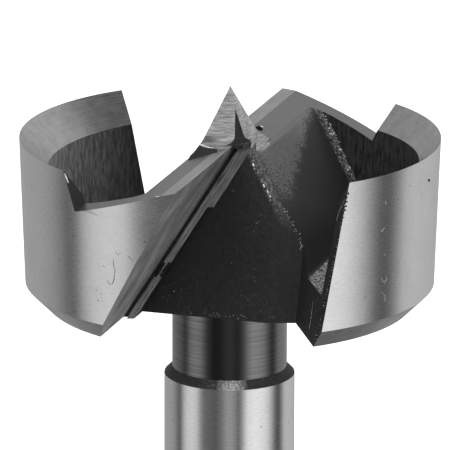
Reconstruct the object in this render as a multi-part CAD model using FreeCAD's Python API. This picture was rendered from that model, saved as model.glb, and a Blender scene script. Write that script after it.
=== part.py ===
import FreeCAD
import Part
import math
import os

# Forstner bit for boring flat-bottomed holes in wood: a forged and ground head with two
# rim cutters, two chip lifters and a centre point, on a turned neck and a round shank.
# It is one piece of steel. Millimetres, +Z along the axis towards the point, and the
# origin at the centre of the shank's end face.

# Overall sizes
head_diameter = 32.0
shank_diameter = 10.0
overall_length = 90.0
point_height = 3.9            # centre point above the sharp rim
head_height = 12.9            # rim down to the flat underside
neck_diameter = 8.8
neck_length = 5.2
shoulder_chamfer = 0.6        # where the neck meets the shank
shank_end_chamfer = 0.5
back_taper = 2.0              # degrees that the outer wall leans in, away from the rim
underside_chamfer = 1.6

# Rim cutters and the pockets inside them
rim_thickness = 1.9           # wall below the ground bevel
bevel_height = 2.1
pocket_depth = 9.1            # rim down to the pocket's floor
pocket_draft = 3.5            # degrees
pocket_corner = 0.5           # forged radius along the pocket's foot
pocket_shift = 0.24           # the forged hollow lies this far off the axis, towards +X

# Chip lifters: lip, land, flank and the forged back behind it
lip_azimuth = 252.6           # plan direction of the first lip, seen from above
lip_lead = 0.73               # the lip runs this far ahead of the axis
lip_drop = 0.3                # lip and boss top below the rim
land_width = 1.1
near_land_relief = 14.0       # degrees; the two sides are ground a little differently
far_land_relief = 6.0
flank_slope = 18.0            # degrees
back_reach = 2.55             # flank's rear edge behind the axis
back_slope = 57.0             # degrees from level
back_rounding = 1.3

# Notch between the flank and the leading end of the rim
near_notch_reach = 8.8        # leading end of the rim behind the axis, at rim height
far_notch_reach = 9.33
near_notch_lean = 20.0        # degrees from upright
far_notch_lean = 29.3

# Gullet in front of each lip
rake_angle = 28.7             # degrees from upright
web_lean = 21.0               # degrees from upright
web_offset = 0.35             # forged web beside the lip, out from the axis at rim height
facet_turn = 18.0             # the web's second facet, turned from the first, in degrees
facet_offset = 1.45
trail_turn = 29.0             # trailing end of the rim, turned from the lip line, in degrees
trail_lean = 10.4             # degrees from upright
near_trail_offset = 5.85
far_trail_offset = 5.47       # forged a little nearer the axis than on the near side

# Ground corner between the rake face and the web
ledge_width = 0.8
ledge_top_width = 1.2         # wider part beside the point, down to a small step
ledge_step_depth = 5.0        # below the rim
ledge_offset = 0.38
groove_width = 0.32
groove_depth = 0.45
point_root_radius = 1.75      # stock that the gullet leaves round the foot of the point
point_root_drop = 0.65        # its underside, below the rim

# Centre point and the boss that it stands on
boss_top_radius = 2.95
boss_base_radius = 5.2
boss_height = 1.25
point_half_angle = 19.3       # degrees between the axis and each ground face
point_runout = 0.9            # radius at the foot of a ground face
broad_face_turn = 17.4        # plan directions of the point's faces, from the lip, in degrees
narrow_face_turn = 84.4
rough_face_turn = 51.0        # unground strip left between the two
rough_half_angle = 15.9
rough_offset = 0.22
scallop_length = 4.3          # wheel's mark at the foot of the narrow face
scallop_width = 1.0
scallop_depth = 1.15          # below the rim

head_radius = head_diameter / 2
rim_z = overall_length - point_height
reach = head_diameter * 1.5   # size of the blocks that stand for grinding cuts
tolerance = 0.01              # for telling one edge from another


def vector(x, y, z):
    return FreeCAD.Vector(x, y, z)


def turned(shape, azimuth):
    """A copy of the shape turned about the axis."""
    copy = shape.copy()
    copy.rotate(vector(0, 0, 0), vector(0, 0, 1), azimuth)
    return copy


def outside_of(azimuth, lean, offset):
    """Block outside a plane: its normal points to the azimuth and rises by the lean.

    The offset is measured along the normal from the axis at rim height.
    """
    block = Part.makeBox(reach, 2 * reach, 2 * reach, vector(offset, -reach, -reach))
    block.rotate(vector(0, 0, 0), vector(0, 1, 0), -lean)
    return turned(block, azimuth)


def revolved(points):
    """Solid turned from a closed outline of (radius, height) points."""
    outline = Part.makePolygon([vector(r, 0, z) for r, z in points + points[:1]])
    return Part.Face(outline).revolve(vector(0, 0, 0), vector(0, 0, 1), 360)


def blank():
    """Turned body: shank, neck, head with its back taper, and the stock for the point."""
    underside = -head_height
    shoulder = underside - neck_length
    end = -rim_z
    shank = shank_diameter / 2
    neck = neck_diameter / 2
    wall_foot = underside + underside_chamfer
    wall_foot_radius = head_radius + wall_foot * math.tan(math.radians(back_taper))
    return revolved([
        (0, end),
        (shank - shank_end_chamfer, end),
        (shank, end + shank_end_chamfer),
        (shank, shoulder - shoulder_chamfer),
        (neck, shoulder),
        (neck, underside),
        (wall_foot_radius - underside_chamfer, underside),
        (wall_foot_radius, wall_foot),
        (head_radius, 0),
        (0, 0),
    ])


def boss():
    """Raised seat that the flank grinding leaves round the axis, with stock for the point."""
    top = -lip_drop
    return revolved([
        (0, top - boss_height),
        (boss_base_radius, top - boss_height),
        (boss_top_radius, top),
        (boss_top_radius, point_height),
        (0, point_height),
    ])


def flank_cut(land_relief, notch_reach, notch_lean):
    """Space above one lifter: its land, its flank and the notch wall, ground along the lip."""
    land_back = lip_lead - land_width
    land_z = -lip_drop - land_width * math.tan(math.radians(land_relief))
    slope = math.tan(math.radians(flank_slope))
    lean = math.tan(math.radians(notch_lean))
    # The notch wall and the flank meet where both give the same height.
    foot_z = (land_z - slope * (land_back + notch_reach)) / (1 + slope * lean)
    foot = -notch_reach - lean * foot_z
    top = reach
    # Above the lip the cut goes on along the rake face.
    outline = [
        (lip_lead + (top + lip_drop) * math.tan(math.radians(rake_angle)), top),
        (lip_lead, -lip_drop),
        (land_back, land_z),
        (foot, foot_z),
        (-notch_reach - lean * top, top),
    ]
    face = Part.Face(Part.makePolygon([vector(0, s, z) for s, z in outline + outline[:1]]))
    return turned(face.extrude(vector(reach, 0, 0)), lip_azimuth)


def bevel_cut(notch_reach, notch_lean):
    """Ground bevel inside one rim cutter, behind the notch wall, deeper than the wall needs."""
    inner = head_radius - 2 * rim_thickness
    cone = Part.makeCone(inner, head_radius, 2 * bevel_height, vector(0, 0, -2 * bevel_height))
    offset = notch_reach * math.cos(math.radians(notch_lean))
    return cone.common(outside_of(lip_azimuth - 90, -notch_lean, offset))


def back_outline(land_relief):
    """Outline of the space behind one lifter, as (ahead of axis, height) points and one arc.

    The forged back drops from the flank's rear edge, which is rounded by an arc that is
    tangent to the flank and to the back.
    """
    flank = math.radians(flank_slope)
    back = math.radians(back_slope)
    edge_z = -lip_drop - land_width * math.tan(math.radians(land_relief))
    edge_z -= (back_reach + lip_lead - land_width) * math.tan(flank)
    tangent = back_rounding * math.tan((back - flank) / 2)
    start = (tangent * math.cos(flank) - back_reach, edge_z + tangent * math.sin(flank))
    end = (-back_reach - tangent * math.cos(back), edge_z - tangent * math.sin(back))
    centre = (start[0] + back_rounding * math.sin(flank), start[1] - back_rounding * math.cos(flank))
    half = (flank + back) / 2
    middle = (centre[0] - back_rounding * math.sin(half), centre[1] + back_rounding * math.cos(half))
    foot = (-back_reach - (edge_z + pocket_depth) / math.tan(back), -pocket_depth)
    return start, middle, end, foot


def pocket_cut(land_relief, shift):
    """Forged hollow behind one lifter, inside the rim, with a radius all along its foot."""
    draft = math.tan(math.radians(pocket_draft))
    wall = head_radius - rim_thickness
    floor_radius = wall - (pocket_depth - bevel_height) * draft
    top_radius = wall + (bevel_height + point_height) * draft
    height = pocket_depth + point_height
    cup = Part.makeCone(floor_radius, top_radius, height, vector(shift, 0, -pocket_depth))
    start, middle, end, foot = [vector(0, s, z) for s, z in back_outline(land_relief)]
    corners = [foot, vector(0, -reach, -pocket_depth), vector(0, -reach, reach), vector(0, start.y, reach)]
    edges = [Part.Arc(start, middle, end).toShape(), Part.makeLine(end, foot)]
    edges += [Part.makeLine(p, q) for p, q in zip(corners, corners[1:] + [start])]
    behind = Part.Face(Part.Wire(edges)).extrude(vector(2 * reach, 0, 0))
    behind.translate(vector(-reach, 0, 0))
    space = cup.common(turned(behind, lip_azimuth))
    feet = [edge for edge in space.Edges if edge.BoundBox.ZMax < end.z + tolerance]
    return space.makeFillet(pocket_corner, feet)


def gullet_cut(trail_offset):
    """Chip space in front of one lip: rake face, ground ledge, groove, web and trailing face."""
    lean = math.radians(rake_angle)
    rake_offset = lip_lead * math.cos(lean) + lip_drop * math.sin(lean)
    ahead = lip_azimuth + 90
    before_rake = outside_of(ahead, -rake_angle, rake_offset)
    past_ledge = outside_of(ahead, -rake_angle, rake_offset + ledge_width)
    past_top_ledge = outside_of(ahead, -rake_angle, rake_offset + ledge_top_width)
    below_step = Part.makeBox(2 * reach, 2 * reach, reach, vector(-reach, -reach, -ledge_step_depth - reach))
    before_trail = outside_of(lip_azimuth + trail_turn - 90, trail_lean, -trail_offset)
    ledge = outside_of(lip_azimuth + facet_turn, web_lean, ledge_offset)
    web = outside_of(lip_azimuth, web_lean, web_offset)
    facet = outside_of(lip_azimuth + facet_turn, web_lean, facet_offset)
    ground = before_rake.cut(past_top_ledge).common(ledge)
    forged = past_top_ledge.fuse(past_ledge.common(below_step)).common(web.fuse(facet))
    slot = outside_of(lip_azimuth + facet_turn, web_lean, ledge_offset - groove_depth)
    slot = slot.common(before_rake).cut(outside_of(ahead, -rake_angle, rake_offset + groove_width))
    root = Part.makeCylinder(point_root_radius, reach, vector(0, 0, -point_root_drop))
    return ground.fuse([forged, slot]).common(before_trail).cut(root)


def ground_face_cut(turn, level):
    """One ground face of the centre point, whose foot runs out level at the given height."""
    half_angle = math.radians(point_half_angle)
    foot = (point_height - level) * math.tan(half_angle)
    # The run-out arc is tangent to the face and to the level line.
    tangent = point_runout * math.tan((math.pi / 2 - half_angle) / 2)
    start = vector(foot - tangent * math.sin(half_angle), 0, level + tangent * math.cos(half_angle))
    end = vector(foot + tangent, 0, level)
    bend = math.pi + (math.pi / 2 + half_angle) / 2
    centre = end + vector(0, 0, point_runout)
    middle = centre + vector(math.cos(bend), 0, math.sin(bend)) * point_runout
    tip = vector(0, 0, point_height)
    outer = vector(reach, 0, level)
    top = vector(reach, 0, point_height)
    edges = [
        Part.makeLine(tip, start),
        Part.Arc(start, middle, end).toShape(),
        Part.makeLine(end, outer),
        Part.makeLine(outer, top),
        Part.makeLine(top, tip),
    ]
    cut = Part.Face(Part.Wire(edges)).extrude(vector(0, 2 * reach, 0))
    cut.translate(vector(0, -reach, 0))
    return turned(cut, lip_azimuth + turn)


def scallop_cut():
    """Round-cornered mark that the wheel leaves at the foot of the point's narrow face."""
    foot = (point_height + scallop_depth) * math.tan(math.radians(point_half_angle))
    size = vector(foot + scallop_width, scallop_length, point_height + scallop_depth)
    pad = Part.makeBox(size.x, size.y, size.z, vector(0, 0, -scallop_depth))
    upright = [edge for edge in pad.Edges if edge.BoundBox.ZLength > tolerance]
    corners = [edge for edge in upright if edge.BoundBox.XMin > size.x - tolerance]
    pad = turned(pad.makeFillet(scallop_width, corners), lip_azimuth + narrow_face_turn)
    return pad.common(ground_face_cut(narrow_face_turn, -scallop_depth))


def point_cut():
    """Everything ground off round the centre point, on one side of the axis."""
    broad = ground_face_cut(broad_face_turn, -lip_drop)
    narrow = ground_face_cut(narrow_face_turn, -lip_drop)
    slope = math.radians(rough_half_angle)
    rough_distance = rough_offset * math.cos(slope) + point_height * math.sin(slope)
    rough = outside_of(lip_azimuth + rough_face_turn, rough_half_angle, rough_distance)
    above_boss = Part.makeBox(2 * reach, 2 * reach, reach, vector(-reach, -reach, -lip_drop))
    round_point = Part.makeCylinder(boss_base_radius, 2 * reach, vector(0, 0, -reach))
    return broad.fuse([narrow, scallop_cut(), rough.common(above_boss)]).common(round_point)


def near_and_far(near, far):
    """A cut for the near side joined to the far side's, which is turned half round."""
    return near.fuse(turned(far, 180))


def forstner_bit():
    """The whole bit, standing on the end of its shank."""
    near_flank = flank_cut(near_land_relief, near_notch_reach, near_notch_lean)
    far_flank = flank_cut(far_land_relief, far_notch_reach, far_notch_lean)
    near_bevel = bevel_cut(near_notch_reach, near_notch_lean)
    far_bevel = bevel_cut(far_notch_reach, far_notch_lean)
    near_pocket = pocket_cut(near_land_relief, pocket_shift)
    far_pocket = pocket_cut(far_land_relief, -pocket_shift)
    body = blank().cut(near_and_far(near_flank, far_flank))
    body = body.fuse(boss())
    body = body.cut(near_and_far(near_bevel, far_bevel))
    body = body.cut(near_and_far(near_pocket, far_pocket))
    body = body.cut(near_and_far(gullet_cut(near_trail_offset), gullet_cut(far_trail_offset)))
    body = body.cut(near_and_far(point_cut(), point_cut()))
    body = body.removeSplitter()
    body.translate(vector(0, 0, rim_z))
    return body


os.makedirs("parts", exist_ok=True)
bit = forstner_bit()
print("solids", len(bit.Solids), "valid", bit.isValid(), "volume", round(bit.Volume, 1))
bit.exportStep("parts/forstner_bit.step")
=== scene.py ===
# Forstner bit: a forged and ground cutting head on a turned neck and a ground shank.
# The solid comes from the imported frame; this script gives it its finishes, the small marks
# that the grinding wheel and the forge leave, painted highlights and shade, a studio and a camera.
import bmesh
import bpy
import math
import numpy as np
from mathutils import Matrix, Quaternion, Vector


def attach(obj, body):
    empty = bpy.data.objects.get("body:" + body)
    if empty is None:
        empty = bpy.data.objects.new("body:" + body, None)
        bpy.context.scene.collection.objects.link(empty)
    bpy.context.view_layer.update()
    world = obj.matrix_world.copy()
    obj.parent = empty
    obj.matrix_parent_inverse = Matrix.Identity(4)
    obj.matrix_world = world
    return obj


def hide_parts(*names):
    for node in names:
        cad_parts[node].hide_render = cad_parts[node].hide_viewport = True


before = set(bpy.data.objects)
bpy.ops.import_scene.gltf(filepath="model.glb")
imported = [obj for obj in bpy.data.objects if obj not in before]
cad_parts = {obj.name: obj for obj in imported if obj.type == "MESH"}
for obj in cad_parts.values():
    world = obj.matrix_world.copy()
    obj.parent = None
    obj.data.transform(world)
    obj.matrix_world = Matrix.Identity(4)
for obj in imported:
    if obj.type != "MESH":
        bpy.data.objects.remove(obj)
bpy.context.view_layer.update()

toMm = 1000.0
print("frame loaded")

# Where each ground or forged face lies: millimetres and degrees, from the sharp rim's plane.
# A pair is the near side's value and the far side's.
bitSizes = {
    "rimHeight": 86.1,        # rim plane above the shank's end
    "headRadius": 16.0,
    "bevelHeight": 2.1,
    "headHeight": 12.9,
    "neckLength": 5.2,
    "shoulderChamfer": 0.6,
    "lipAzimuth": 252.6,
    "lipLead": 0.73,
    "lipDrop": 0.3,
    "landWidth": 1.1,
    "landRelief": (14.0, 6.0),
    "flankSlope": 18.0,
    "notchReach": (8.8, 9.33),
    "notchLean": (20.0, 29.3),
    "rakeAngle": 28.7,
    "webLean": 21.0,
    "webOffset": 0.35,
    "facetTurn": 18.0,
    "facetOffset": 1.45,
    "ledgeWidth": 0.8,
    "ledgeTopWidth": 1.2,
    "ledgeOffset": 0.38,
    "grooveWidth": 0.32,
    "grooveDepth": 0.45,
    "trailTurn": 29.0,
    "trailLean": 10.4,
    "trailOffset": (5.85, 5.47),
    "pointHeight": 3.9,
    "pointHalfAngle": 19.3,
    "broadTurn": 17.4,
    "narrowTurn": 84.4,
    "roughTurn": 51.0,
    "roughHalfAngle": 15.9,
    "roughOffset": 0.22,
    "bossRadius": 5.3,        # the point and its boss lie within this of the axis
    "bossDepth": 1.7,
    "backReach": 2.55,
    "backSlope": 57.0,
    "litPatchPlace": 4.2,       # painted light on the pocket's wall: its brightest place, out along the lip
    "litPatchFade": 3.0,        # how many times faster that patch fades on its outer side
    "shoulderRub": (0.2, -4.8),
    "unworn": 20.0,           # distance that stands for no wear and no painted light at all
}

# How a face is told: radii, heights and gaps in millimetres, and cosines of directions
faceTells = {
    "boreRadius": 12.5,       # least radius of each round face
    "chamferRadius": 13.0,
    "bevelRadius": 13.9,
    "wallRadius": 14.5,
    "slack": 0.05,            # a face may pass a height by this much
    "endHeight": 1.0,
    "endFacing": 0.3,
    "inward": 0.9,
    "outward": 0.98,
    "leaning": 0.6,           # bevels and chamfers
    "rising": 0.5,
    "level": 0.99,
    "floorLevel": 0.97,
    "roundestBack": 0.96,     # upper end of the forged back's rounding
    "samePlane": 0.9995,
    "planeGap": 0.03,
    "square": 0.02,           # at right angles to a direction
    "coneFrom": 108.0,        # degrees ahead of the lip where the forged cone starts
    "coneTo": 50.0,           # and where its foot ends
    "coneFacing": 0.2,
    "runOutFacing": 0.3,
    "mapLevel": 0.98,         # faces that take their map from the radius
    "sharpAngle": 28.0,       # degrees between faces at an edge that stays crisp
}


def planeNormal(azimuth, lean):
    # Unit vector that points to the azimuth and rises by the lean, both in degrees.
    flat = math.cos(math.radians(lean))
    turn = math.radians(azimuth)
    return np.array([flat * math.cos(turn), flat * math.sin(turn), math.sin(math.radians(lean))])


def faceFamilies(size, side):
    # Plane of each flat face on one side: name, outward normal, distance from the axis at
    # rim height, and the direction in which its grinding lines run.
    lip = size["lipAzimuth"]
    ahead = planeNormal(lip + 90, 0)
    along = planeNormal(lip, 0)
    rake = planeNormal(lip + 90, -size["rakeAngle"])
    rakeLean = math.radians(size["rakeAngle"])
    rakeOffset = size["lipLead"] * math.cos(rakeLean) + size["lipDrop"] * math.sin(rakeLean)
    ledge = planeNormal(lip + size["facetTurn"], size["webLean"])
    lengthwise = np.cross(rake, ledge)
    lengthwise /= np.linalg.norm(lengthwise)
    web = planeNormal(lip, size["webLean"])
    trail = planeNormal(lip + size["trailTurn"] - 90, size["trailLean"])
    relief = math.radians(size["landRelief"][side])
    land = -math.sin(relief) * ahead + math.cos(relief) * np.array([0, 0, 1.0])
    lipEdge = size["lipLead"] * ahead - np.array([0, 0, size["lipDrop"]])
    landBack = size["lipLead"] - size["landWidth"]
    backEdge = landBack * ahead - np.array([0, 0, size["lipDrop"] + size["landWidth"] * math.tan(relief)])
    slope = math.radians(size["flankSlope"])
    flank = -math.sin(slope) * ahead + math.cos(slope) * np.array([0, 0, 1.0])
    notch = planeNormal(lip + 90, size["notchLean"][side])
    notchOffset = -size["notchReach"][side] * math.cos(math.radians(size["notchLean"][side]))
    up = np.array([0, 0, 1.0])
    return [
        ("rake", rake, rakeOffset, lengthwise),
        ("ledgeSide", rake, rakeOffset + size["ledgeWidth"], lengthwise),
        ("ledgeSide", rake, rakeOffset + size["ledgeTopWidth"], lengthwise),
        ("groove", -rake, -(rakeOffset + size["grooveWidth"]), lengthwise),
        ("ledge", ledge, size["ledgeOffset"], lengthwise),
        ("groove", ledge, size["ledgeOffset"] - size["grooveDepth"], lengthwise),
        ("web", web, size["webOffset"], up),
        ("web", ledge, size["facetOffset"], up),
        ("trail", trail, -size["trailOffset"][side], up),
        ("land", land, float(land @ lipEdge), along),
        ("flank", flank, float(flank @ backEdge), along),
        ("notch", notch, notchOffset, along),
    ]


def pointFamilies(size):
    # The point's ground faces: normals that lean out from the axis by the half-angle.
    tip = np.array([0, 0, size["pointHeight"]])
    faces = []
    for name, turn, half in (("pointBroad", size["broadTurn"], size["pointHalfAngle"]),
                             ("pointNarrow", size["narrowTurn"], size["pointHalfAngle"]),
                             ("pointRough", size["roughTurn"], size["roughHalfAngle"])):
        azimuth = size["lipAzimuth"] + turn
        normal = planeNormal(azimuth, half)
        beyond = size["roughOffset"] * math.cos(math.radians(half)) if name == "pointRough" else 0.0
        faces.append((name, normal, float(normal @ tip) + beyond, planeNormal(azimuth + 90, 0)))
    return faces


def solidCopy():
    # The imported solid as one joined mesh, for a piece that stands in its place.
    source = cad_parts["forstner_bit"]
    mesh = source.data.copy()
    mesh.name = "forstnerBit"
    work = bmesh.new()
    work.from_mesh(mesh)
    bmesh.ops.remove_doubles(work, verts=work.verts, dist=1e-6)
    work.to_mesh(mesh)
    work.free()
    mesh.materials.clear()
    piece = bpy.data.objects.new("forstnerBit", mesh)
    bpy.context.scene.collection.objects.link(piece)
    return piece


def faceData(mesh, size):
    # Centre in millimetres from the rim plane, unit normal, and radius of every face.
    count = len(mesh.polygons)
    centre = np.empty(count * 3)
    normal = np.empty(count * 3)
    mesh.polygons.foreach_get("center", centre)
    mesh.polygons.foreach_get("normal", normal)
    centre = centre.reshape(-1, 3) * toMm - np.array([0, 0, size["rimHeight"]])
    return centre, normal.reshape(-1, 3), np.hypot(centre[:, 0], centre[:, 1])


def cornerPlaces(mesh, size):
    # Place of every face corner, in millimetres from the rim plane.
    corners = np.empty(len(mesh.loops), int)
    mesh.loops.foreach_get("vertex_index", corners)
    points = np.empty(len(mesh.vertices) * 3)
    mesh.vertices.foreach_get("co", points)
    return points.reshape(-1, 3)[corners] * toMm - np.array([0, 0, size["rimHeight"]])


def backPlane(size, side):
    # Normal of the forged back behind one lip, and its distance from the axis at rim height.
    ahead = planeNormal(size["lipAzimuth"] + 90, 0) * (1 - 2 * side)
    slopes = (size["landRelief"][side], size["flankSlope"], size["backSlope"])
    relief, flank, back = [math.radians(slope) for slope in slopes]
    landBack = size["lipLead"] - size["landWidth"]
    edgeHeight = -size["lipDrop"] - size["landWidth"] * math.tan(relief)
    edgeHeight -= (size["backReach"] + landBack) * math.tan(flank)
    normal = np.array([0, 0, math.cos(back)]) - math.sin(back) * ahead
    return normal, float(normal @ (np.array([0, 0, edgeHeight]) - size["backReach"] * ahead))


regionNames = ["wall", "bevel", "chamfer", "underside", "rake", "ledge", "ledgeSide", "groove", "web",
               "trail", "land", "flank", "notch", "back", "pocketFoot", "innerWall", "pointBroad",
               "pointNarrow", "pointRough", "runOut", "bossGround", "boss", "neck", "shoulder", "shank",
               "shankEnd", "pocketFloor"]
regionIndex = regionNames.index


def nameRegions(mesh, size, tell):
    # Region of every face, told by its plane or, on the round parts, by height and radius.
    centre, normal, radius = faceData(mesh, size)
    region = np.full(len(centre), regionIndex("back"))
    outward = (normal[:, :2] * centre[:, :2]).sum(1) / np.maximum(radius, 1e-6)
    height = centre[:, 2]
    rise = normal[:, 2]
    inHead = height > -size["headHeight"] - tell["slack"]
    boreSide = inHead & (outward < -tell["inward"]) & (radius > tell["boreRadius"])
    region[boreSide] = regionIndex("innerWall")
    region[inHead & (outward > tell["outward"]) & (radius > tell["wallRadius"])] = regionIndex("wall")
    bevel = inHead & (rise > tell["rising"]) & (outward < -tell["leaning"]) & (radius > tell["bevelRadius"])
    region[bevel & (height > -size["bevelHeight"] - tell["slack"])] = regionIndex("bevel")
    chamfer = inHead & (rise < -tell["leaning"]) & (outward > tell["leaning"])
    chamfer &= radius > tell["chamferRadius"]
    region[chamfer] = regionIndex("chamfer")
    under = inHead & (rise < -tell["level"]) & (height < -size["headHeight"] + tell["slack"])
    region[under] = regionIndex("underside")
    neckFoot = -size["headHeight"] - size["neckLength"]
    shoulderFoot = neckFoot - size["shoulderChamfer"]
    region[~inHead & (height > neckFoot)] = regionIndex("neck")
    region[(height <= neckFoot) & (height > shoulderFoot)] = regionIndex("shoulder")
    region[height <= shoulderFoot] = regionIndex("shank")
    atEnd = (height < tell["endHeight"] - size["rimHeight"]) & (rise < -tell["endFacing"])
    region[atEnd] = regionIndex("shankEnd")
    direction = np.zeros((len(centre), 3))
    nearAxis = inHead & (radius < size["bossRadius"]) & (height > -size["bossDepth"])
    onPlane = np.zeros(len(centre), bool)
    # The forged back and its rounding bend only across the lip, so they don't face along it.
    along = planeNormal(size["lipAzimuth"], 0)
    bent = (np.abs(normal @ along) < tell["square"]) & (rise > tell["rising"]) & (rise < tell["roundestBack"])
    for side in (0, 1):
        flip = np.array([1 - 2 * side, 1 - 2 * side, 1])
        for name, planeAxis, offset, lines in faceFamilies(size, side) + pointFamilies(size):
            axis = planeAxis * flip
            hit = inHead & (normal @ axis > tell["samePlane"])
            hit &= np.abs(centre @ axis - offset) < tell["planeGap"]
            region[hit] = regionIndex(name)
            direction[hit] = lines * flip
            onPlane |= hit
    # What the wheel left round the point: run-out arcs and level rings are ground, the cone is
    # forged where it stands behind the lip and blends into the flank elsewhere.
    boss = nearAxis & ~onPlane & ~bent
    lipTurn = (np.degrees(np.arctan2(centre[:, 1], centre[:, 0])) - size["lipAzimuth"]) % 180
    forged = lipTurn > tell["coneFrom"]
    forged |= (rise < tell["coneFacing"]) & (lipTurn < tell["coneTo"])
    region[boss] = np.where(forged[boss], regionIndex("boss"), regionIndex("bossGround"))
    for turn in (size["broadTurn"], size["narrowTurn"]):
        side = planeNormal(size["lipAzimuth"] + turn + 90, 0)
        runOut = boss & (np.abs(normal @ side) < tell["square"]) & (rise > tell["runOutFacing"])
        region[runOut] = regionIndex("runOut")
        direction[runOut] = side
    region[(region == regionIndex("back")) & ~bent] = regionIndex("pocketFoot")
    # Faces of the pocket's foot that face up make its floor, whose finish paints the light falling on it
    level = (region == regionIndex("pocketFoot")) & (rise > tell["floorLevel"])
    region[level] = regionIndex("pocketFloor")
    return region, direction


def grindMap(mesh, size, tell, direction):
    # UV map in millimetres that follows the tool marks: U runs along them, V across.
    # Round parts take arc length and height (or radius on level faces); flat ones take the
    # distances along and square to the direction of their lines.
    faceOf = np.repeat(np.arange(len(mesh.polygons)), 3)
    here = cornerPlaces(mesh, size)
    centre, normal, radius = faceData(mesh, size)
    middle = np.arctan2(centre[:, 1], centre[:, 0])[faceOf]
    angle = np.arctan2(here[:, 1], here[:, 0])
    angle = middle + (angle - middle + np.pi) % (2 * np.pi) - np.pi
    level = np.abs(normal[:, 2])[faceOf] > tell["mapLevel"]
    reach = np.hypot(here[:, 0], here[:, 1])
    u = angle * np.where(level, size["headRadius"], radius[faceOf])
    v = np.where(level, reach, here[:, 2])
    flat = (np.abs(direction).sum(1) > 0)[faceOf]
    across = np.cross(normal, direction)[faceOf]
    u[flat] = (here * direction[faceOf]).sum(1)[flat]
    v[flat] = (here * across).sum(1)[flat]
    layer = mesh.uv_layers.new(name="grindMap")
    layer.data.foreach_set("uv", np.column_stack([u, v]).ravel())


def lipMap(mesh, size):
    # Second UV map in millimetres: U is the distance out along the nearer lip, V the
    # distance ahead of it, the same on both sides of the bit.
    here = cornerPlaces(mesh, size)
    centre = faceData(mesh, size)[0]
    along = planeNormal(size["lipAzimuth"], 0)
    ahead = planeNormal(size["lipAzimuth"] + 90, 0)
    # A face behind the first lip's line belongs to that lip, any other to its twin.
    side = np.repeat(np.where(centre @ ahead < 0, 1.0, -1.0), 3)
    layer = mesh.uv_layers.new(name="lipMap")
    layer.data.foreach_set("uv", np.column_stack([side * (here @ along), side * (here @ ahead)]).ravel())


def wearAndLightMap(mesh, size, region):
    # Third UV map in millimetres: how far a place lies from the edge or patch that is brightened, and its
    # height;
    # wear brightens it except on the pocket's wall, where the brightening is painted light. On the web that
    # is the rounded edge to the other lifter's back, on the back its edge to the web, on the pocket's wall a
    # patch of painted light beside the lip.
    here = cornerPlaces(mesh, size)
    centre = faceData(mesh, size)[0]
    along = planeNormal(size["lipAzimuth"], 0)
    nearHalf = np.repeat(centre @ along > 0, 3)
    leftHalf = np.repeat(centre @ planeNormal(size["lipAzimuth"] + 90, 0) < 0, 3)
    kind = np.repeat(region, 3)
    distance = np.full(len(here), size["unworn"])
    for side, half in ((1, nearHalf), (0, ~nearHalf)):
        normal, offset = backPlane(size, side)
        onWeb = half & (kind == regionIndex("web"))
        distance[onWeb] = (offset - here @ normal)[onWeb]
    web = planeNormal(size["lipAzimuth"], size["webLean"])
    for turn, half in ((np.array([-1, -1, 1]), leftHalf), (1, ~leftHalf)):
        onBack = half & (kind == regionIndex("back"))
        distance[onBack] = (size["webOffset"] - here @ (web * turn))[onBack]
    # On the left pocket's wall: distance from the brightest place of a patch of painted light, which fades
    # faster on its outer side
    out = here @ along
    onBore = leftHalf & (kind == regionIndex("innerWall"))
    beyond = out - size["litPatchPlace"]
    distance[onBore] = np.maximum(-beyond, size["litPatchFade"] * beyond)[onBore]
    rubbed = np.linalg.norm(here[:, :2] - size["shoulderRub"], axis=1)
    distance = np.where(kind == regionIndex("shoulder"), rubbed, distance)
    layer = mesh.uv_layers.new(name="wearAndLightMap")
    layer.data.foreach_set("uv", np.column_stack([distance, here[:, 2]]).ravel())


def trueNormals(mesh, size, region):
    # Shading normals: exact on turned faces (radial, with the face's own slope), the face's
    # own on flat ones, and smooth over the forged radii.
    here = cornerPlaces(mesh, size)
    smooth = np.empty(len(mesh.loops) * 3)
    mesh.corner_normals.foreach_get("vector", smooth)
    smooth = smooth.reshape(-1, 3)
    centre, normal = faceData(mesh, size)[:2]
    facing = np.repeat(normal, 3, axis=0)
    outward = np.sign(np.repeat((normal[:, :2] * centre[:, :2]).sum(1), 3))
    reach = np.maximum(np.hypot(here[:, 0], here[:, 1]), 1e-9)
    flat = np.sqrt(np.maximum(1 - facing[:, 2] ** 2, 0))
    turned = np.column_stack([outward * flat * here[:, 0] / reach, outward * flat * here[:, 1] / reach,
                              facing[:, 2]])
    kind = np.repeat(region, 3)
    turnedNames = ("wall", "bevel", "chamfer", "innerWall", "neck", "shank")
    smoothNames = ("back", "boss", "pocketFoot", "runOut", "bossGround")
    isTurned = np.isin(kind, [regionIndex(n) for n in turnedNames])
    isSmooth = np.isin(kind, [regionIndex(n) for n in smoothNames])
    chosen = np.where(isTurned[:, None], turned, np.where(isSmooth[:, None], smooth, facing))
    mesh.normals_split_custom_set(chosen.tolist())


bit = solidCopy()
region, direction = nameRegions(bit.data, bitSizes, faceTells)
grindMap(bit.data, bitSizes, faceTells, direction)
lipMap(bit.data, bitSizes)
wearAndLightMap(bit.data, bitSizes, region)
print("regions", {name: int((region == i).sum()) for i, name in enumerate(regionNames)})


def linearColour(hexValue):
    # sRGB hex value as a linear colour
    channels = [int(hexValue[i:i + 2], 16) / 255 for i in (1, 3, 5)]
    return [c / 12.92 if c <= 0.04045 else ((c + 0.055) / 1.055) ** 2.4 for c in channels] + [1.0]


def addNode(tree, kind, inputs={}, **settings):
    # One shader node: its properties are set, and each input is linked or given its value. A
    # colour may be given as a hex value.
    node = tree.nodes.new("ShaderNode" + kind)
    for name, value in settings.items():
        setattr(node, name, value)
    for key, value in inputs.items():
        if isinstance(value, bpy.types.NodeSocket):
            tree.links.new(value, node.inputs[key])
        else:
            node.inputs[key].default_value = linearColour(value) if isinstance(value, str) else value
    return node


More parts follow.
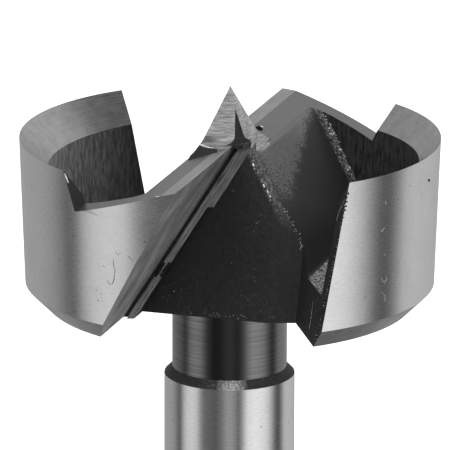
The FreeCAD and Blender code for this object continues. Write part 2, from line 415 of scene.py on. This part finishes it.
def noise(tree, place, size, detail, roughness=0.5):
    return addNode(tree, "TexNoise", {"Vector": place, "Scale": 1 / size, "Detail": detail,
                                      "Roughness": roughness}).outputs[0]


def remap(tree, value, start, end, low=0.0, high=1.0, curve="LINEAR"):
    # Low where the value is at start, high where it is at end
    return addNode(tree, "MapRange", {0: value, 1: start, 2: end, 3: low, 4: high},
                   interpolation_type=curve).outputs[0]


def blend(tree, share, first, second):
    # Colour that goes from the first to the second as the share grows
    return addNode(tree, "Mix", {0: share, 6: first, 7: second}, data_type="RGBA").outputs[2]


def blendValue(tree, share, first, second):
    return addNode(tree, "Mix", {0: share, 2: first, 3: second}, data_type="FLOAT").outputs[0]


def multiply(tree, first, second):
    return addNode(tree, "Math", {0: first, 1: second}, operation="MULTIPLY").outputs[0]


def multiplyAdd(tree, first, second, third, clamp=False):
    return addNode(tree, "Math", {0: first, 1: second, 2: third}, operation="MULTIPLY_ADD",
                   use_clamp=clamp).outputs[0]


def scaled(tree, vector, scale):
    return addNode(tree, "VectorMath", {0: vector, 1: scale}, operation="MULTIPLY").outputs[0]


def mapParts(tree, name):
    # U and V of one of the maps
    return addNode(tree, "SeparateXYZ", {0: addNode(tree, "UVMap", uv_map=name).outputs[0]}).outputs


def newMaterial(name):
    material = bpy.data.materials.new(name)
    material.use_nodes = True
    material.node_tree.nodes.clear()
    return material, material.node_tree


def finishMaterial(tree, tone, metallic, roughness, height=None, depth=0.0, bump=0.0):
    # Steel of a tone, with relief where a height is given, its depth in millimetres
    inputs = {"Base Color": tone, "Metallic": metallic, "Roughness": roughness}
    if height is not None:
        inputs["Normal"] = addNode(tree, "Bump", {"Height": height, "Distance": depth / toMm,
                                                  "Strength": bump}).outputs[0]
    shader = addNode(tree, "BsdfPrincipled", inputs)
    addNode(tree, "OutputMaterial", {"Surface": shader.outputs[0]})


def groundSteel(name, look):
    # Ground tool steel: fine parallel lines in the reflection, a few pits and short marks.
    material, tree = newMaterial(name)
    uv = addNode(tree, "UVMap", uv_map="grindMap").outputs[0]
    placeMm = scaled(tree, addNode(tree, "TexCoord").outputs["Object"], (toMm,) * 3)
    stretched = scaled(tree, uv, (1 / look["lineLength"], 1 / look["lineWidth"], 0))
    lines = noise(tree, stretched, 1.0, 3.0, 0.6)
    cloud = noise(tree, placeMm, look["cloudSize"], 2.0)
    mixed = blendValue(tree, look["cloudShare"], lines, cloud)
    spread = remap(tree, mixed, 0.5 - look["softness"], 0.5 + look["softness"])
    tone = blend(tree, spread, look["dark"], look["light"])
    cells = addNode(tree, "TexVoronoi", {"Vector": placeMm, "Scale": 1 / look["pitSpacing"]})
    pitReach = look["pitSize"] / look["pitSpacing"]
    pits = remap(tree, cells.outputs["Distance"], pitReach, pitReach * look["pitCore"])
    chance = addNode(tree, "SeparateColor", {0: cells.outputs["Color"]}).outputs[0]
    chosen = addNode(tree, "Math", {0: chance, 1: look["pitShare"]}, operation="LESS_THAN").outputs[0]
    tone = blend(tree, multiply(tree, pits, chosen), tone, look["pitColour"])
    rough = remap(tree, lines, look["roughFrom"], look["roughTo"], look["roughLow"], look["roughHigh"])
    finishMaterial(tree, tone, look["metallic"], rough, lines, look["lineDepth"], look["bump"])
    return material


def forgedSteel(name, look):
    # Drop-forged tool steel with black scale: rough, nearly matt, with bright specks, and a lighter flecked
    # border near an edge or a patch.
    # On the pocket's foot and floor the lighter tone and specks are painted highlight and painted light, on
    # the pocket's wall the lighter patch is painted light, elsewhere the border is wear.
    material, tree = newMaterial(name)
    place = addNode(tree, "TexCoord").outputs["Object"]
    placeMm = scaled(tree, place, (toMm,) * 3)
    drawn = scaled(tree, place, look["stretch"])
    grain = noise(tree, drawn, look["grainSize"], 4.0, 0.65)
    patch = noise(tree, placeMm, look["patchSize"], 2.0)
    speck = noise(tree, placeMm, look["speckSize"], 2.0)
    shade = remap(tree, grain, 0.5 - look["softness"], 0.5 + look["softness"])
    tone = blend(tree, shade, look["dark"], look["light"])
    worn = mapParts(tree, "wearAndLightMap")
    border = remap(tree, worn[0], look["borderTo"], look["borderFrom"])
    flecks = blendValue(tree, look["fleckGrain"], speck, grain)
    flecks = remap(tree, flecks, look["fleckFrom"], look["fleckTo"], look["fleckLow"])
    border = multiply(tree, border, flecks)
    above = remap(tree, worn[1], look["borderEnd"], look["borderEnd"] / 2)
    border = multiply(tree, border, above)
    tone = blend(tree, border, tone, look["borderColour"])
    peaks = remap(tree, speck, look["speckFrom"], look["speckFrom"] + look["speckFade"])
    where = remap(tree, patch, look["patchFrom"], look["patchTo"], look["speckLow"], look["speckHigh"])
    tone = blend(tree, multiply(tree, peaks, where), tone, look["speckColour"])
    finishMaterial(tree, tone, look["metallic"], look["roughness"], grain, look["depth"], look["bump"])
    return material


def fadedGrind(name, look):
    # Lifter's back: the wheel cleaned the top, only touched the peaks further down, and left black scale
    # below it.
    # Beside it, towards the pocket's wall, the black is scale and painted shade of the valley there.
    # The grey fades with the distance behind the lip.
    material, tree = newMaterial(name)
    placeMm = scaled(tree, addNode(tree, "TexCoord").outputs["Object"], (toMm,) * 3)
    lip = mapParts(tree, "lipMap")
    fine = noise(tree, placeMm, look["speckSize"], 3.0, 0.7)
    broad = noise(tree, placeMm, look["patchSize"], 2.0)
    behind = multiply(tree, lip[1], -1.0)
    uneven = multiplyAdd(tree, broad, look["patchReach"], behind)
    down = multiplyAdd(tree, lip[0], -look["skew"], uneven)
    fall = remap(tree, down, look["cleanTo"], look["blackFrom"], 1.0, 0.0)
    # Black beside the grey, towards the pocket's wall: scale, with painted shade of the valley
    edge = multiplyAdd(tree, uneven, 1 / look["shadedSideSlope"], lip[0])
    beside = remap(tree, edge, look["shadedSideFrom"], look["shadedSideTo"], 1.0, 0.0, "SMOOTHSTEP")
    share = multiply(tree, fall, beside)
    rim = remap(tree, mapParts(tree, "wearAndLightMap")[0], 0.0, look["edgeWidth"], look["edgeShare"])
    share = multiply(tree, share, rim)
    # Fine pits bite deeper into the grey as the wheel's touch fades.
    pitted = remap(tree, share, 1.0, look["deepestShare"], 0.0, look["speckContrast"])
    pits = addNode(tree, "Math", {0: fine, 1: 0.5}, operation="SUBTRACT").outputs[0]
    bare = multiplyAdd(tree, pits, pitted, share, clamp=True)
    bare = multiply(tree, bare, remap(tree, share, 0.0, look["fadeOut"]))
    tone = blend(tree, bare, look["scale"], look["steel"])
    rough = blendValue(tree, bare, look["roughScale"], look["roughSteel"])
    metal = multiply(tree, bare, look["metallic"])
    finishMaterial(tree, tone, metal, rough, fine, look["depth"], look["bump"])
    return material


def turnedSteel(name, look):
    # Lathe-turned steel under black oxide: a dark mirror cut by fine rings, with a painted dark reflection
    # down its front.
    material, tree = newMaterial(name)
    uv = addNode(tree, "UVMap", uv_map="grindMap").outputs[0]
    stretched = scaled(tree, uv, (1 / look["ringLength"], 1 / look["ringWidth"], 0))
    rings = noise(tree, stretched, 1.0, 2.0)
    tone = blend(tree, rings, look["dark"], look["light"])
    # Painted dark reflection: the neck darkened down its front, where it faces the camera
    across = scaled(tree, addNode(tree, "TexCoord").outputs["Object"], (toMm, toMm, 0))
    away = addNode(tree, "VectorMath", {0: across, 1: look["darkReflectionPlace"]}, operation="DISTANCE")
    darkReflection = remap(tree, away.outputs["Value"], look["darkReflectionReach"], look["darkReflectionReach"] / 2,
                  curve="SMOOTHSTEP")
    tone = blend(tree, darkReflection, tone, look["darkReflectionColour"])
    finishMaterial(tree, tone, 1.0, look["roughness"], rings, look["ringDepth"], look["bump"])
    return material


# Finishes: hex colours are sRGB, sizes in millimetres
wallLook = {
    "dark": "#dadada",
    "light": "#f2f2f2",
    "lineLength": 0.5,        # of the grinding lines, and their width and depth
    "lineWidth": 0.08,
    "lineDepth": 0.003,
    "bump": 0.12,
    "roughFrom": 0.3,         # part of the lines' noise over which the roughness changes
    "roughTo": 0.7,
    "roughLow": 0.14,
    "roughHigh": 0.2,
    "cloudSize": 2.5,         # broad mottling, and its share in the tone
    "cloudShare": 0.25,
    "softness": 0.18,         # the smaller, the harder the step from dark to light
    "pitSpacing": 1.1,
    "pitSize": 0.09,
    "pitCore": 0.4,           # part of a pit that has its full colour
    "pitShare": 0.5,          # part of the cells that hold a pit
    "pitColour": "#8c8c8c",
    "metallic": 1.0,
}
shankLook = dict(wallLook, roughLow=0.12, roughHigh=0.18)
bevelLook = dict(wallLook, dark="#bebebe", light="#e4e4e4", lineLength=4.0, roughLow=0.26, roughHigh=0.34,
                 cloudSize=0.8, cloudShare=0.45)
flatLook = dict(wallLook, dark="#a0a0a0", light="#b0b0b0", lineWidth=0.14, lineLength=3.0, roughLow=0.34,
                roughHigh=0.42, pitShare=0.1)
landLook = dict(flatLook, dark="#c8c8c8", light="#e8e8e8")
ledgeLook = dict(flatLook, dark="#505050", light="#c0c0c0", lineWidth=0.16, lineLength=2.0, bump=0.8,
                 roughLow=0.4, roughHigh=0.5)
rakeLook = dict(flatLook, dark="#484848", light="#b4b4b4", lineWidth=0.09, lineLength=9.0, softness=0.12,
                bump=0.8, metallic=0.3, roughLow=0.5, roughHigh=0.6)
pointLook = dict(flatLook, dark="#b4b4b4", light="#fafafa", lineWidth=0.15, lineLength=1.0, lineDepth=0.03,
                 bump=1.0, softness=0.12, cloudSize=0.6)
forgedLook = {
    "dark": "#171717",
    "light": "#272727",
    "softness": 0.2,
    "stretch": (toMm,) * 3,   # per metre: a smaller value draws the grain out that way
    "grainSize": 0.35,
    "depth": 0.05,
    "bump": 0.5,
    "patchSize": 3.0,         # where the bright peaks thin out
    "patchFrom": 0.45,
    "patchTo": 0.62,
    "speckSize": 0.16,        # bright peaks: size, noise level where they start, least and most
    "speckFrom": 0.68,
    "speckFade": 0.08,
    "speckLow": 0.0,
    "speckHigh": 0.8,
    "speckColour": "#909090",
    "borderFrom": 0.5,        # worn border: full within this distance, gone at the next
    "borderTo": 0.85,
    "borderEnd": -6.6,        # height at which it ends
    "borderColour": "#6c6c6c",
    "fleckGrain": 0.0,        # its flecks follow the specks at 0 and the grain at 1
    "fleckFrom": 0.4,
    "fleckTo": 0.66,
    "fleckLow": 0.1,
    "metallic": 0.0,
    "roughness": 0.55,
}
# Pocket's foot: lighter, densely specked scale, a painted highlight where its fillet to the wall catches the
# light
footHighlightLook = dict(forgedLook, dark="#141414", light="#5c5c5c", softness=0.12, grainSize=0.2, bump=1.0,
                speckFrom=0.58, speckLow=0.3, speckHigh=1.0, speckColour="#b8b8b8")
# Pocket's level floor, lighter still: painted light, as it faces up
litPocketFloorLook = dict(footHighlightLook, dark="#1c1c1c", light="#909090", softness=0.08, grainSize=0.16,
                 speckFrom=0.54, speckLow=0.5, speckColour="#d0d0d0")
shoulderLook = dict(forgedLook, dark="#242424", light="#484848", grainSize=0.15, fleckGrain=1.0,
                    fleckFrom=0.44, fleckTo=0.6, fleckLow=0.35, borderFrom=0.3, borderTo=1.3,
                    borderEnd=-100.0, borderColour="#e0e0e0", speckFrom=0.62, speckHigh=1.0)
# Pocket's wall: the broad lighter border, flecked along the streaks, is painted light
streakLook = dict(forgedLook, dark="#161616", light="#343434", softness=0.14, depth=0.06,
                  stretch=(toMm, toMm, toMm / 4), grainSize=0.26, bump=1.0, speckFrom=0.8,
                  borderFrom=0.0, borderTo=13.0, borderEnd=-30.0, borderColour="#b0b0b0",
                  fleckGrain=1.0, fleckFrom=0.4, fleckTo=0.66, fleckLow=0.35)
backLook = {
    "steel": "#a0a0a0",
    "scale": "#2c2c2c",
    "metallic": 1.0,
    "roughScale": 0.55,
    "roughSteel": 0.4,
    "cleanTo": 1.2,           # behind the lip: clean up to here, black from the next
    "blackFrom": 6.2,
    "skew": 0.2,              # how much further the grey reaches at the rim
    "shadedSideSlope": 0.19,        # the black beside the grey, scale and painted shade: lean of its border, start and end
    "shadedSideFrom": 24.0,
    "shadedSideTo": 30.2,
    "edgeWidth": 1.2,         # darker strip along the web, and what it keeps of the grey
    "edgeShare": 0.4,
    "patchSize": 1.6,
    "patchReach": 0.8,
    "speckSize": 0.15,
    "speckContrast": 5.0,     # how deep the pits bite, in full at this share of the grey
    "deepestShare": 0.55,
    "fadeOut": 0.35,          # share below which the last of the grey goes
    "depth": 0.02,
    "bump": 0.3,
}
neckLook = {
    "dark": "#505050",
    "light": "#a0a0a0",
    "ringLength": 50.0,
    "ringWidth": 0.16,
    "ringDepth": 0.012,
    "bump": 0.6,
    "roughness": 0.2,
    "darkReflectionPlace": (-0.1, -4.4, 0),   # painted dark reflection down the front
    "darkReflectionReach": 2.0,
    "darkReflectionColour": "#505050",
}

finishes = {
    "groundWall": (groundSteel, wallLook, ["wall"]),
    "groundShank": (groundSteel, shankLook, ["shank"]),
    "groundBevel": (groundSteel, bevelLook, ["bevel", "chamfer", "shankEnd"]),
    "groundFlank": (groundSteel, flatLook, ["flank", "bossGround"]),
    "groundLand": (groundSteel, landLook, ["land"]),
    "groundLedge": (groundSteel, ledgeLook, ["ledge"]),
    "groundRake": (groundSteel, rakeLook, ["rake"]),
    "groundPoint": (groundSteel, pointLook, ["pointBroad", "pointNarrow", "runOut"]),
    "fadedBack": (fadedGrind, backLook, ["back"]),
    "forgedScale": (forgedSteel, forgedLook, ["web", "trail", "notch", "groove", "ledgeSide",
                                              "pointRough", "boss", "underside"]),
    "rubbedShoulder": (forgedSteel, shoulderLook, ["shoulder"]),
    # The pocket's foot: painted highlight along its fillet to the wall
    "footWithPaintedHighlight": (forgedSteel, footHighlightLook, ["pocketFoot"]),
    # The pocket's level floor: painted light
    "litPocketFloor": (forgedSteel, litPocketFloorLook, ["pocketFloor"]),
    "forgedStreaks": (forgedSteel, streakLook, ["innerWall"]),
    "turnedNeck": (turnedSteel, neckLook, ["neck"]),
}


def paintRegions(piece, region):
    slotOf = np.zeros(len(regionNames), int)
    for index, (name, (make, look, names)) in enumerate(finishes.items()):
        piece.data.materials.append(make(name, look))
        for each in names:
            slotOf[regionIndex(each)] = index
    piece.data.polygons.foreach_set("material_index", slotOf[region].astype(np.int32))


paintRegions(bit, region)
bit.data.shade_smooth()
bit.data.set_sharp_from_angle(angle=math.radians(faceTells["sharpAngle"]))
trueNormals(bit.data, bitSizes, region)
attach(bit, "root")
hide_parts("forstner_bit")
print("finishes set")

# Marks of use and making, and painted highlights and a painted shadow, in millimetres from the rim plane.
# Wall marks are pairs of degrees round the head and height; edge marks are places in the frame. Bright ones
# are torn burrs with a painted glint, fresh scratches and painted highlights on edges; dark ones are old
# scratches and pits, and one painted shadow.
marks = {
    "wallLine": 0.02,         # half the width of a bright scratch
    "oldLine": 0.015,         # and of a dark one
    "burrLine": 0.055,
    "backTaper": 2.0,         # degrees by which the wall leans in
    "brightWall": [
        [(314.9, -4.2), (315.4, -4.38), (316.5, -4.1)], [(310.4, -4.0), (310.6, -4.5), (310.3, -4.9)],
        [(316.0, -8.0), (316.5, -8.35), (317.4, -8.42), (318.2, -8.2), (317.9, -7.95)],
        [(316.0, -9.1), (317.7, -9.5), (317.8, -10.0)],
        [(316.5, -2.0), (316.8, -2.4)], [(323.3, -1.6), (323.9, -1.7)], [(321.6, -3.5), (322.2, -3.6)],
        [(311.3, -2.8), (311.8, -2.9)], [(316.5, -6.2), (317.1, -6.3)], [(320.8, -5.1), (321.3, -5.3)]],
    "darkWall": [
        [(236.9, -5.9), (236.8, -6.4), (237.3, -6.8), (237.0, -7.4), (236.4, -7.9), (235.4, -8.0),
         (234.6, -7.7)],
        [(241.5, -5.5), (242.3, -5.7), (243.2, -5.9)], [(237.5, -5.3), (238.4, -5.6), (239.4, -5.3)],
        [(339.4, -1.9), (339.9, -2.0)], [(233.4, -6.6), (233.9, -6.7)], [(230.7, -8.6), (231.2, -8.7)],
        [(232.4, -8.8), (232.9, -8.9)], [(230.9, -9.4), (231.5, -9.5)]],
    # Burrs: their shape is real, their white is a painted glint; paths
    "burrs": [
        [(-2.35, -1.72, -0.3), (-2.05, -2.05, -0.32), (-1.66, -2.38, -0.3), (-1.22, -2.62, -0.33)],
        [(-2.32, -1.78, -0.22), (-2.1, -2.05, -0.22), (-1.85, -2.25, -0.24)],
        [(-5.5, -14.85, -0.72), (-4.9, -15.1, -0.6)], [(-4.35, -15.3, -0.46), (-3.9, -14.9, -0.34)],
        [(-12.5, -9.9, -0.08), (-12.3, -10.1, -0.3), (-12.15, -10.15, -0.6), (-12.0, -10.15, -1.0)],
        [(2.3, 4.6, -0.48), (2.55, 4.5, -0.56)],
        [(1.7, -1.62, -1.7), (1.82, -1.76, -1.95)], [(2.5, -2.44, -3.15), (2.62, -2.56, -3.35)],
        [(2.8, -2.7, -3.55), (2.92, -2.8, -3.75)], [(3.0, -2.9, -3.9), (3.08, -2.98, -4.02)],
        [(8.0, 11.7, -2.8), (8.1, 11.6, -3.0)], [(8.5, 11.15, -4.0), (8.6, 11.05, -4.2)],
        [(9.1, 10.4, -5.4), (9.2, 10.3, -5.6)]],
    # Fine bright lines: half width and path of a painted highlight along the lip's edge and of two scratches
    "fineLines": [
        (0.02, [(-0.4, -3.7, -0.3), (-1.5, -7.2, -0.31), (-2.7, -11.1, -0.31), (-3.85, -14.8, -0.31)]),
        (0.01, [(8.49, -12.96, -1.27), (8.28, -12.59, -1.99), (8.07, -12.12, -2.59), (7.86, -11.86, -3.43)]),
        (0.01, [(6.23, -9.91, -10.04), (6.08, -10.36, -11.31), (5.93, -10.48, -12.22)])],
    # Deep nick marks: half width and path. The first, beside the point, is a dark piece that paints the
    # shadow in a small hollow there
    "nickPathsAndShadow": [
        (0.15, [(1.95, 4.2, -0.48), (2.2, 4.2, -0.52), (2.5, 4.15, -0.64)]),
        (0.07, [(14.9, -5.62, -1.84), (14.93, -5.55, -1.95), (14.95, -5.5, -2.06)]),
        (0.12, [(-4.91, -3.87, -8.88), (-5.18, -4.02, -9.27), (-5.44, -4.17, -9.66),
                (-5.65, -4.28, -9.94)]),
        (0.14, [(-4.52, -3.86, -8.88), (-4.79, -4.02, -9.27), (-5.05, -4.17, -9.66),
                (-5.27, -4.28, -9.94)])],
    # Chips broken out of an edge: spacing, spread, half width, and the edge's path
    "chips": [
        (0.3, 0.05, 0.06, [(8.72, -13.4, -0.85), (8.15, -13.5, -3.74), (7.5, -13.5, -7.14),
                           (6.71, -13.2, -11.01), (6.4, -12.85, -12.36)]),
        (0.45, 0.06, 0.07, [(-1.78, -2.26, -5.16), (-2.98, -2.46, -7.15), (-3.75, -2.76, -8.33),
                            (-4.51, -2.96, -9.54), (-5.26, -3.12, -10.76), (-6.01, -3.32, -11.97)])],
    # Painted highlights along an edge or the pocket's ridge, bright specks where it catches the light:
    # spacing, spread, half width, and the edge's path
    "edgeHighlights": [
        (0.1, 0.16, 0.035, [(1.66, -1.58, -1.65), (2.42, -2.36, -3.0), (3.1, -3.0, -4.07),
                            (4.31, -3.46, -5.12), (5.22, -4.14, -6.88), (5.45, -4.46, -7.73)]),
        (0.1, 0.14, 0.05, [(7.1, 12.26, -1.46), (7.68, 11.9, -2.29), (8.31, 11.41, -3.4),
                           (8.81, 10.81, -4.69), (9.35, 10.07, -6.02)]),
        (0.22, 0.06, 0.03, [(8.7, -13.39, -0.85), (8.13, -13.47, -3.74), (7.5, -13.45, -7.14),
                            (6.71, -13.17, -11.01), (6.39, -12.83, -12.36)]),
        (0.5, 0.1, 0.03, [(-2.11, -2.5, -5.41), (-3.62, -3.31, -7.46), (-5.12, -4.14, -9.59),
                          (-6.55, -4.92, -11.57)]),
        (0.12, 0.15, 0.025, [(-2.24, -4.77, -12.63), (0.03, -5.49, -12.64), (2.44, -6.24, -12.64)])],
}


def threadSurface(path, halfWidth, seed):
    # A closed thread along a path: rings of points round it, whose radius swells from nothing
    # at the ends as the fourth root of a half sine and varies by a third at random.
    path = np.array(path, float)
    sides, legSteps = 8, 8
    steps = legSteps * (len(path) - 1) + 1
    along = np.linspace(0, len(path) - 1, steps)
    line = np.column_stack([np.interp(along, np.arange(len(path)), path[:, k]) for k in range(3)])
    rng = np.random.default_rng(seed)
    swell = np.maximum(np.sin(np.linspace(0, np.pi, steps)), 0) ** 0.25
    radius = halfWidth * swell * rng.uniform(0.67, 1.33, steps)
    tangent = np.gradient(line, axis=0)
    tangent /= np.linalg.norm(tangent, axis=1)[:, None]
    side = np.cross(tangent, np.where(np.abs(tangent[:, 2:]) > 0.9, [[1.0, 0, 0]], [[0, 0, 1.0]]))
    side /= np.linalg.norm(side, axis=1)[:, None]
    up = np.cross(side, tangent)
    turn = np.linspace(0, 2 * np.pi, sides, endpoint=False)
    ring = line[:, None] + radius[:, None, None] * (np.cos(turn)[None, :, None] * side[:, None]
                                                   + np.sin(turn)[None, :, None] * up[:, None])
    points = np.vstack([ring[1:-1].reshape(-1, 3), line[:1], line[-1:]])
    rows = steps - 2
    first = np.arange(sides)
    after = (first + 1) % sides
    a = (np.arange(rows - 1)[:, None] * sides + first).ravel()
    b = (np.arange(rows - 1)[:, None] * sides + after).ravel()
    quads = np.column_stack([a, b, b + sides, a + sides])
    last = (rows - 1) * sides
    start = np.column_stack([after, first, np.full(sides, rows * sides)])
    end = np.column_stack([first + last, after + last, np.full(sides, rows * sides + 1)])
    return points, quads, np.vstack([start, end])


def sparkleThreads(spacing, spread, halfWidth, path):
    # Short threads strewn along a path: even steps, each shifted and turned at random, with
    # a length of two to five half widths.
    path = np.array(path)
    reach = np.concatenate([[0], np.cumsum(np.linalg.norm(np.diff(path, axis=0), axis=1))])
    at = np.arange(0, reach[-1], spacing)
    rng = np.random.default_rng(len(at))
    middle = np.column_stack([np.interp(at, reach, path[:, k]) for k in range(3)])
    middle += rng.uniform(-spread, spread, middle.shape)
    turn = rng.normal(size=middle.shape)
    turn *= (halfWidth * rng.uniform(1, 2.5, len(at)) / np.linalg.norm(turn, axis=1))[:, None]
    widths = halfWidth * rng.uniform(0.4, 1.0, len(at))
    return [((m - t, m, m + t), w) for m, t, w in zip(middle, turn, widths)]


def markPiece(name, threads, colour, roughness):
    # All threads of one kind as one piece, in metres.
    points, faces, count = [], [], 0
    for index, (path, halfWidth) in enumerate(threads):
        ring, quads, caps = threadSurface(path, halfWidth, index)
        points.append(ring)
        faces += (quads + count).tolist() + (caps + count).tolist()
        count += len(ring)
    places = (np.vstack(points) + [0, 0, bitSizes["rimHeight"]]) / toMm
    mesh = bpy.data.meshes.new(name)
    mesh.from_pydata(places.tolist(), [], faces)
    mesh.validate()
    mesh.shade_smooth()
    material, tree = newMaterial(name + "Steel")
    finishMaterial(tree, colour, 0.0, roughness)
    mesh.materials.append(material)
    piece = bpy.data.objects.new(name, mesh)
    bpy.context.scene.collection.objects.link(piece)
    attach(piece, "root")


def onWall(path):
    # Wall marks as places in the frame
    turn, height = np.radians([p[0] for p in path]), np.array([p[1] for p in path])
    reach = bitSizes["headRadius"] + height * math.tan(math.radians(marks["backTaper"]))
    return np.column_stack([reach * np.cos(turn), reach * np.sin(turn), height])


brightThreads = [(p, marks["burrLine"]) for p in marks["burrs"]]
scratchAndHighlightThreads = [(onWall(p), marks["wallLine"]) for p in marks["brightWall"]]
scratchAndHighlightThreads += [(p, width) for width, p in marks["fineLines"]]
for sparkle in marks["edgeHighlights"]:
    scratchAndHighlightThreads += sparkleThreads(*sparkle)
darkThreads = [(onWall(p), marks["oldLine"]) for p in marks["darkWall"]]
nickAndShadowThreads = [(p, width) for width, p in marks["nickPathsAndShadow"]]
for chips in marks["chips"]:
    nickAndShadowThreads += sparkleThreads(*chips)
# Burrs in white: a painted glint on their real shape
markPiece("burrsWithPaintedGlint", brightThreads, "#e8e8e8", 0.4)
# Scratches, and bright threads and specks that paint highlights on edges and along the pocket's ridge
markPiece("scratchesAndHighlights", scratchAndHighlightThreads, "#a8a8a8", 0.4)
markPiece("oldScratches", darkThreads, "#707070", 0.6)
# Dark pieces: deep nick marks and chips, and one painted shadow beside the point
markPiece("darkNickAndShadowPiece", nickAndShadowThreads, "#141414", 0.8)
print("marks made")

# Studio: a pale floor, a tent of bright and dark panels for the metal to reflect, and soft lamps
studio = {
    "floorSize": 3.0,
    "floorColour": "#f4f4f4",
    "floorGlow": 0.6,         # lifts the lit floor to white where the camera sees it
    "tentLevels": [           # degrees round from the camera's side, brightness of the tent there
        (-180, 0.38), (-130, 0.36), (-118, 0.32), (-109, 0.24), (-103, 0.13), (-96, 0.13), (-90, 0.40),
        (-82, 0.64), (-70, 0.72), (-60, 0.62), (-53, 0.32), (-46, 0.16), (-24, 0.10), (-14, 0.18),
        (-4, 0.34), (4, 0.34), (12, 0.22), (17, 0.12), (24, 0.40), (32, 0.84), (46, 0.96), (60, 0.90),
        (69, 0.78), (78, 0.52), (86, 0.24), (92, 0.10), (100, 0.10), (106, 0.26), (114, 0.52), (124, 0.56),
        (145, 0.50), (180, 0.38)],
    "overheadLevels": [       # the same for the tent's roof
        (-180, 0.34), (-120, 0.32), (-60, 0.36), (-25, 0.66), (25, 0.66), (60, 0.22), (74, 0.10), (110, 0.10),
        (118, 0.28), (125, 0.52), (145, 0.46), (160, 0.38), (180, 0.34)],
    "lowLevels": [            # and for its skirt, below the table's edge
        (-180, 0.42), (-168, 0.46), (-158, 0.27), (-150, 0.12), (-120, 0.2), (0, 0.3), (120, 0.1),
        (148, 0.1), (155, 0.18), (162, 0.4), (180, 0.42)],
    "roof": (0.25, 0.6),      # rise of the ray where the roof starts and is full
    "skirt": (-0.38, -0.55),
    "diffuseLevel": 0.55,     # what matt surfaces get from the tent
    "lampAim": (0, 0, 0.07),
    "lamps": {                # place, size and power
        "keyLamp": ((-0.45, -0.45, 0.75), 0.6, 6.0),
        "fillLamp": ((0.6, -0.3, 0.6), 0.6, 2.0)},
}


def levelRamp(tree, turn, levels):
    # Brightness round the tent, from pairs of degrees and level
    ramp = addNode(tree, "ValToRGB", {0: turn})
    stops = ramp.color_ramp.elements
    for index, (degrees, level) in enumerate(levels):
        place = (degrees + 180) / 360
        stop = stops[index] if index < 2 else stops.new(place)
        stop.position = place
        stop.color = (level, level, level, 1)
    return ramp.outputs[0]


def makeWorld(look):
    world = bpy.data.worlds.new("studioTent")
    world.use_nodes = True
    tree = world.node_tree
    tree.nodes.clear()
    heading = addNode(tree, "TexCoord").outputs["Generated"]
    parts = addNode(tree, "SeparateXYZ", {0: heading}).outputs
    front = multiply(tree, parts[1], -1.0)
    angle = addNode(tree, "Math", {0: parts[0], 1: front}, operation="ARCTAN2").outputs[0]
    turn = remap(tree, angle, -math.pi, math.pi)
    sides = levelRamp(tree, turn, look["tentLevels"])
    roof = levelRamp(tree, turn, look["overheadLevels"])
    skirt = levelRamp(tree, turn, look["lowLevels"])
    overhead = remap(tree, parts[2], *look["roof"], curve="SMOOTHSTEP")
    below = remap(tree, parts[2], *look["skirt"])
    tent = blend(tree, overhead, sides, roof)
    tent = blend(tree, below, tent, skirt)
    path = addNode(tree, "LightPath").outputs
    tone = blend(tree, path["Is Glossy Ray"], (look["diffuseLevel"],) * 3 + (1,), tent)
    tone = blend(tree, path["Is Camera Ray"], tone, (1, 1, 1, 1))
    sky = addNode(tree, "Background", {"Color": tone, "Strength": 1.0})
    addNode(tree, "OutputWorld", {"Surface": sky.outputs[0]})
    bpy.context.scene.world = world


def makeFloor(look):
    half = look["floorSize"] / 2
    mesh = bpy.data.meshes.new("studioFloor")
    corners = [(-half, -half, 0), (half, -half, 0), (half, half, 0), (-half, half, 0)]
    mesh.from_pydata(corners, [], [(0, 1, 2, 3)])
    floor = bpy.data.objects.new("studioFloor", mesh)
    bpy.context.scene.collection.objects.link(floor)
    floor.visible_glossy = False
    material, tree = newMaterial("paleFloor")
    path = addNode(tree, "LightPath").outputs
    matt = addNode(tree, "BsdfDiffuse", {"Color": look["floorColour"]}).outputs[0]
    glow = multiply(tree, path["Is Camera Ray"], look["floorGlow"])
    light = addNode(tree, "Emission", {"Color": (1, 1, 1, 1), "Strength": glow}).outputs[0]
    both = addNode(tree, "AddShader", {0: matt, 1: light}).outputs[0]
    addNode(tree, "OutputMaterial", {"Surface": both})
    mesh.materials.append(material)


def makeLamp(name, aim, place, size, power):
    lamp = bpy.data.lights.new(name, "AREA")
    lamp.shape = "SQUARE"
    lamp.size = size
    lamp.energy = power
    holder = bpy.data.objects.new(name, lamp)
    holder.location = place
    holder.rotation_euler = (Vector(aim) - Vector(place)).to_track_quat("-Z", "Y").to_euler()
    holder.visible_glossy = False
    bpy.context.scene.collection.objects.link(holder)


makeWorld(studio)
makeFloor(studio)
for name, (place, size, power) in studio["lamps"].items():
    makeLamp(name, studio["lampAim"], place, size, power)

view = {
    "place": (0.0, -0.450039, 0.206974),
    "heading": (-0.00079833, 0.96189027, -0.27343460),
    "roll": 0.159,            # degrees
    "lens": 491.63,           # millimetres
    "sensor": 36.0,
    "clip": (0.02, 20.0),     # metres
}


def makeCamera(look):
    camera = bpy.data.cameras.new("photoCamera")
    camera.lens = look["lens"]
    camera.sensor_width = look["sensor"]
    camera.clip_start, camera.clip_end = look["clip"]
    holder = bpy.data.objects.new("photoCamera", camera)
    roll = Quaternion((0, 0, 1), math.radians(look["roll"]))
    turn = Vector(look["heading"]).to_track_quat("-Z", "Y") @ roll
    holder.matrix_world = Matrix.Translation(look["place"]) @ turn.to_matrix().to_4x4()
    bpy.context.scene.collection.objects.link(holder)
    bpy.context.scene.camera = holder


makeCamera(view)
bpy.context.scene.view_settings.view_transform = "Standard"
print("studio set")
